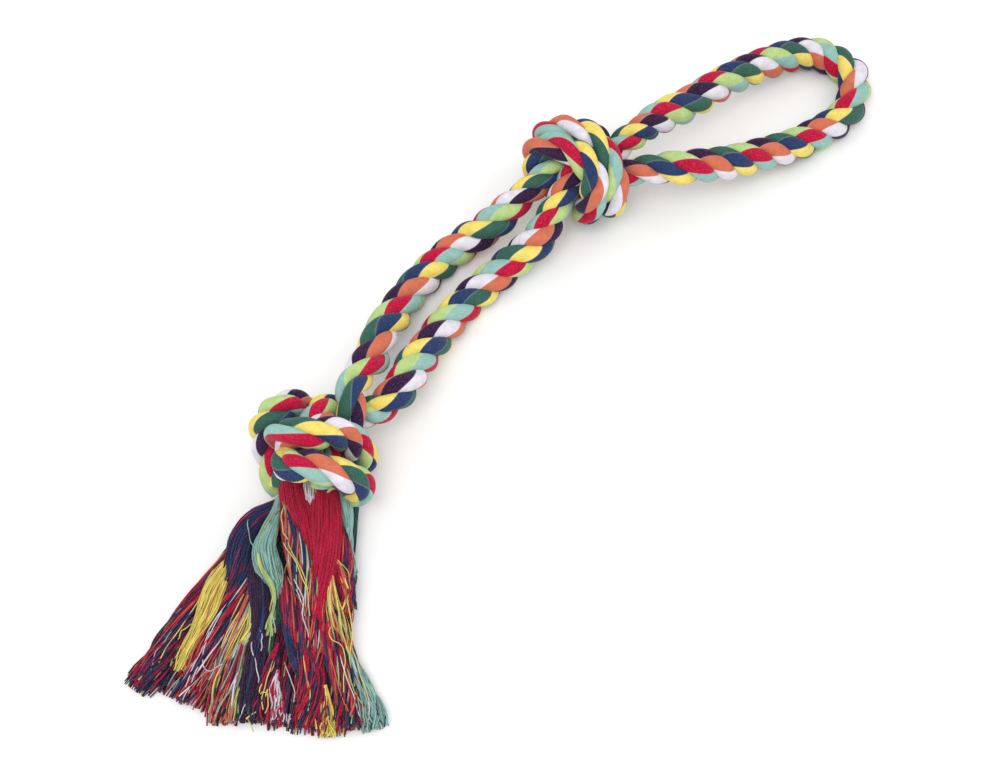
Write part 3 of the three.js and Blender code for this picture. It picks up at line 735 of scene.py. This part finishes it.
    ("b_yellow", "yellow 14 orange 1", 44, 0.2, 0.6, [
        (325, 685, 9, 1.1), (327, 700, 7, 3.5), (328, 713, 5, 5.6), (328, 737, 4, 8.1),
    ]),
    ("b_plum", "plum 8 crimson 7 yellow 1", 90, 0.3, 0.55, [
        (278, 643, 8, 1.6), (272, 667, 8, 6.4), (265, 688, 6, 8.9), (258, 722, 4, 10.5),
    ]),
    ("b_white", "crimson 3 white 8", 44, 0.3, 0.6, [
        (278, 670, 9, 0.8), (275, 687, 8, 4), (277, 702, 6, 5.6), (278, 723, 4, 8.1),
    ]),
    ("b_white", "white 5 lime 4 yellow 1", 30, 0.1, 0.5, [
        (307, 470, 24, 4.8), (309, 482, 26, 5.6), (310, 492, 26, 4.8), (311, 502, 23, 2.4),
        (312, 512, 16, 0.6),
    ]),
]
looseYarns = [
    ("b_white", "white", [
        (280, 613), (274, 620), (271, 627), (274, 630), (278, 628),
    ]),
    ("a_white", "white", [
        (227, 603), (217, 620), (208, 638), (203, 655), (204, 668), (210, 672),
        (223, 663),
    ]),
    ("a_white", "white", [
        (213, 623), (208, 635), (200, 653), (192, 670), (185, 687),
    ]),
    ("a_white", "white", [
        (208, 647), (198, 667), (190, 685), (183, 700),
    ]),
    ("a_yellow", "yellow", [
        (195, 622), (187, 627), (181, 632), (178, 640),
    ]),
    ("a_yellow", "orange", [
        (225, 570), (217, 590), (208, 612), (202, 630), (193, 645),
    ]),
    ("b_yellow", "yellow", [
        (333, 623), (329, 632), (332, 640), (341, 645), (345, 657), (344, 675),
        (343, 693),
    ]),
    ("b_yellow", "yellow", [
        (342, 587), (350, 613), (352, 637), (350, 662), (355, 687),
    ]),
    ("a_orange", "orange", [
        (284, 570), (290, 583), (298, 597), (304, 608), (308, 625),
    ]),
    ("a_orange", "white", [
        (284, 570), (289, 580), (297, 592), (302, 603), (305, 617),
    ]),
    ("a_orange", "white", [
        (287, 563), (295, 580), (302, 597), (304, 620), (308, 637),
    ]),
    ("a_orange", "lime", [
        (283, 523), (289, 545), (300, 567), (308, 593), (310, 617),
    ]),
    ("a_orange", "yellow", [
        (282, 510), (282, 525), (285, 545), (297, 565), (307, 587),
    ]),
    ("a_aqua", "aqua", [
        (253, 512), (248, 523), (249, 537), (255, 547),
    ]),
    ("a_aqua", "aqua", [
        (277, 508), (267, 520), (258, 540), (257, 560), (263, 580),
    ]),
    ("a_orange", "navy", [
        (282, 510), (288, 518), (295, 525), (302, 537),
    ]),
    ("a_orange", "crimson", [
        (289, 497), (285, 505), (277, 513), (268, 523),
    ]),
    ("a_orange", "yellow", [
        (287, 500), (282, 512), (282, 525), (287, 540),
    ]),
    ("b_lime", "lime", [
        (337, 560), (347, 570), (350, 585), (348, 602),
    ]),
    ("b_aqua", "yellow", [
        (350, 647), (357, 662), (360, 675), (370, 700),
    ]),
    ("b_aqua", "lime", [
        (345, 660), (352, 685), (363, 707), (373, 730),
    ]),
    ("b_orange", "white", [
        (338, 643), (343, 667), (352, 692), (360, 717),
    ]),
    ("b_orange", "orange", [
        (325, 637), (332, 662), (338, 685), (348, 712),
    ]),
    ("b_crimson", "orange", [
        (325, 587), (323, 607), (322, 628), (320, 653),
    ]),
    ("b_crimson", "white", [
        (283, 657), (287, 670), (293, 685), (295, 702),
    ]),
    ("b_crimson", "yellow", [
        (303, 650), (305, 670), (310, 692), (308, 712),
    ]),
    ("b_crimson", "navy", [
        (298, 620), (305, 643), (315, 667), (318, 690),
    ]),
    ("a_green", "white", [
        (252, 630), (252, 650), (257, 667), (258, 683),
    ]),
    ("a_green", "white", [
        (258, 623), (262, 637), (261, 650),
    ]),
    ("a_green", "yellow", [
        (277, 647), (270, 670), (263, 693), (262, 710),
    ]),
    ("b_plum", "yellow", [
        (257, 703), (262, 692), (268, 695), (266, 713),
    ]),
    ("a_lime", "white", [
        (247, 700), (242, 712), (237, 727),
    ]),
    ("a_lime", "lime", [
        (247, 717), (250, 723), (254, 732),
    ]),
    ("a_lime", "white", [
        (237, 617), (227, 637), (217, 658), (210, 680),
    ]),
    ("a_plum", "yellow", [
        (203, 593), (188, 617), (173, 638), (158, 662),
    ]),
    ("a_plum", "aqua", [
        (180, 620), (165, 640), (153, 658), (152, 670),
    ]),
    ("a_plum", "navy", [
        (153, 657), (148, 662), (152, 667), (146, 675),
    ]),
]


tasselChance = np.random.default_rng(tasselLook["seed"])
tasselTubes = {}


def yarnTube(line, radius, colour, tintAndPaintedShade):
    way = unit(np.gradient(line, axis=0))
    side = unit(np.cross((0.0, 0.0, 1.0), way))
    up = np.cross(way, side)
    angle = 2 * math.pi * np.arange(tasselLook["sides"]) / tasselLook["sides"]
    around = np.cos(angle)[:, None] * side[:, None] + np.sin(angle)[:, None] * up[:, None]
    rings = line[:, None] + radius * around
    along = np.linspace(0, 1, len(line)) + tasselChance.random() * tasselLook["mapShift"]
    return rings, along, np.full(tasselLook["sides"], list(yarnShades).index(colour)), tintAndPaintedShade


def seenAt(across, down, height):
    width, depth = pictureSize
    pixels = cameraPlan["lens"] / cameraPlan["sensor"] * width
    place = bpy.context.scene.camera.matrix_world
    ray = place.to_3x3() @ Vector((across - width / 2, depth / 2 - down, -pixels))
    return place.translation + ray * ((height - place.translation.z) / ray.z)


def lockWay(stations):
    places = [np.array((*seenAt(across, down, height / 1000), width / 1000))
              for across, down, height, width in stations]
    return evenPoints(curveThrough(places), tasselLook["lockStep"])[1]


def tasselTop(point):
    away = np.hypot(*(tasselHeap[:, :2] - point[:2]).T)
    under = away < tasselHeap[:, 3] / 2
    if not under.any():
        return None
    height, width, thickness = tasselHeap[under, 2:].T
    return float(np.max(height + thickness * np.sqrt((width / 2) ** 2 - away[under] ** 2)))


def waving(at, share, start, waves):
    least, more = waves
    return np.sin(2 * math.pi * ((least + more * share) * at + start))


def lockTubes(mix, count, turns, thickness, way):
    words = mix.split()
    weights = np.array(words[1::2], float)
    picks = tasselChance.choice(words[::2], count, p=weights / weights.sum())
    share = np.linspace(0, 1, len(way))
    forward = unit(np.gradient(way[:, :3], axis=0))
    side = unit(np.cross((0.0, 0.0, 1.0), forward))
    fields = np.hstack([way, side, np.cross(forward, side)]).T

    def spots(at):
        column = np.stack([np.interp(at, share, field) for field in fields], axis=1)
        return column[:, :3], column[:, 3] / 2, column[:, 4:7], column[:, 7:]

    # A core in the lock's first colour, under its yarns, darkened as painted shadow inside the lock
    at = np.linspace(0, coreLook["end"], tasselLook["steps"])
    middle, half, aside, above = spots(at)
    sides = coreLook["sides"]
    angle = 2 * math.pi * np.arange(sides) / sides
    size = coreLook["share"] * half * np.sqrt(1 - (coreLook["taper"] * at / at[-1]) ** 4)
    size = size[:, None, None]
    rings = size * np.cos(angle)[:, None] * aside[:, None]
    rings += size * thickness * np.sin(angle)[:, None] * above[:, None]
    rings += middle[:, None]
    rings[..., 2] = np.maximum(rings[..., 2], coreLook["lowest"])
    mixed = len(words) > 2
    coreShadowTint, shade, grain = (lockShading[key][mixed] for key in ("coreShadowTint", "shade", "grain"))
    coreColours = np.full(sides, list(yarnShades).index(words[0]))
    tubes = [(rings, at * coreLook["mapLength"], coreColours, coreShadowTint)]

    least, more = tasselLook["spread"]
    firm, loose = tasselLook["wanderTurns"]
    thin, thicker = tasselLook["girth"]
    for index, colour in enumerate(picks):
        # The fifth number has no use, and is drawn so that the later ones stay as they are
        swayWave, swayStart, liftWave, liftStart, _, girth, stray, cut, worn = tasselChance.random(9)
        at = np.linspace(0, 1 - tasselLook["ragged"] * cut ** 2, tasselLook["steps"])
        out = math.sqrt(least + more * (index + 0.5) / count)
        angle = index * tasselLook["goldenAngle"] + 2 * math.pi * turns * at
        reach = tasselLook["wander"] * (firm + loose * turns) * (tasselLook["wanderStart"] + at)
        reach += tasselLook["stray"] * stray ** 3 * at ** 3
        sway = reach * waving(at, swayWave, swayStart, tasselLook["swayWaves"])
        lift = reach * waving(at, liftWave, liftStart, tasselLook["liftWaves"])
        middle, half, aside, above = spots(at)
        line = middle + (half * out * np.cos(angle) + sway)[:, None] * aside
        line += (half * thickness * out * np.sin(angle) + lift)[:, None] * above
        radius = tasselLook["yarn"] * (thin + thicker * girth)
        line[:, 2] = np.maximum(line[:, 2], radius)
        # Painted shade: the lower yarns of a lock are darker, where its own shadow falls; each yarn also
        # gets a random grain
        tintAndPaintedShade = 1 - shade * (1 - out * np.sin(angle)) / 2
        tintAndPaintedShade = tintAndPaintedShade * (lockShading["brightest"] - grain * worn)
        tubes.append(yarnTube(line, radius, colour, tintAndPaintedShade[:, None]))
    return tubes


tasselHeap = []
for ply, mix, count, turns, thickness, stations in tasselLocks:
    way = lockWay(stations)
    tasselHeap.append(np.column_stack([way, np.full(len(way), thickness)]))
    tasselTubes.setdefault(ply, []).extend(lockTubes(mix, count, turns, thickness, way))
tasselHeap = np.concatenate(tasselHeap)


# A loose yarn starts a little way inside the locks and lies on them after that
def looseWay(stations):
    places = []
    height = looseLook["startHeight"]
    for across, down in stations:
        for _ in range(looseLook["settlings"]):
            height = tasselTop(np.array(seenAt(across, down, height))) or height
        lower = -looseLook["rise"] if places else looseLook["sink"]
        places.append(np.array(seenAt(across, down, height - lower)))
    return evenPoints(curveThrough(places), looseLook["step"])[1]


for ply, colour, stations in looseYarns:
    line = looseWay(stations)
    share = np.linspace(0, 1, len(line))[:, None]
    for axis in range(3):
        curls = waving(share, *tasselChance.random(2), looseLook["curlWaves"])
        line[:, axis:axis + 1] += looseLook["curl"] * share * curls
    line[:, 2] = np.maximum(line[:, 2], looseLook["radius"])
    tube = yarnTube(line, looseLook["radius"], colour, looseLook["tintAndPaintedShade"])
    tasselTubes.setdefault(ply, []).append(tube)
tasselPieces = {"a": [], "b": []}
for ply, tubes in tasselTubes.items():
    piece = tubePiece("yarns_" + ply, tubes, list(yarnShades))
    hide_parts("tassel_" + ply)
    end, colour = ply.split("_")
    tasselPieces[end].append(piece)
print("tassel built,", sum(len(tubes) for tubes in tasselTubes.values()), "yarns")

# The rope, one piece for each stretch

ropeColours = [colour for plies in strandColours.values() for colour in plies]
for name, (first, last) in stretches.items():
    window = slice(first, last + 1)
    along = ropeAlong[window] / ropeLook["diameter"]
    tubes = []
    for index, (strand, plies) in enumerate(strandColours.items()):
        count = len(plies)
        sideColours = np.repeat(np.arange(count) + count * index, ropeLook["strandSides"] // count)
        tubes.append((ropeRings[strand][window], along, sideColours, 1.0))
    piece = tubePiece("rope_" + name, tubes, ropeColours)
    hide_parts(name)
    line = ropeLine[window]
print("rope built")

# Floor and light

floorPlan = {"half": 12.0, "shade": (0.9, 0.9, 0.9), "roughness": 1.0, "specular": 0.0}
lightPlan = {
    "world": 1.0,
    "key": {"place": (-0.5, -0.2, 1.1), "size": 0.7, "power": 5.0},
    "fill": {"place": (0.6, -0.7, 0.9), "size": 0.9, "power": 1.5},
}


def layFloor(plan):
    half = plan["half"]
    mesh = bpy.data.meshes.new("floor")
    corners = [(-half, -half, 0), (half, -half, 0), (half, half, 0), (-half, half, 0)]
    mesh.from_pydata(corners, [], [(0, 1, 2, 3)])
    material = bpy.data.materials.new("floor")
    material.use_nodes = True
    surface = material.node_tree.nodes["Principled BSDF"]
    surface.inputs["Base Color"].default_value = (*plan["shade"], 1)
    surface.inputs["Roughness"].default_value = plan["roughness"]
    surface.inputs["Specular IOR Level"].default_value = plan["specular"]
    mesh.materials.append(material)
    floor = bpy.data.objects.new("floor", mesh)
    bpy.context.scene.collection.objects.link(floor)


def addLight(name, plan):
    lamp = bpy.data.lights.new(name, "AREA")
    lamp.shape = "DISK"
    lamp.size = plan["size"]
    lamp.energy = plan["power"]
    light = bpy.data.objects.new(name, lamp)
    light.location = plan["place"]
    light.rotation_euler = (-Vector(plan["place"])).to_track_quat("-Z", "Y").to_euler()
    bpy.context.scene.collection.objects.link(light)


layFloor(floorPlan)
addLight("key", lightPlan["key"])
addLight("fill", lightPlan["fill"])
world = bpy.data.worlds.new("studio")
world.use_nodes = True
world.node_tree.nodes["Background"].inputs["Color"].default_value = (1, 1, 1, 1)
world.node_tree.nodes["Background"].inputs["Strength"].default_value = lightPlan["world"]
bpy.context.scene.world = world
bpy.context.scene.view_settings.view_transform = "Standard"
print("stage set")
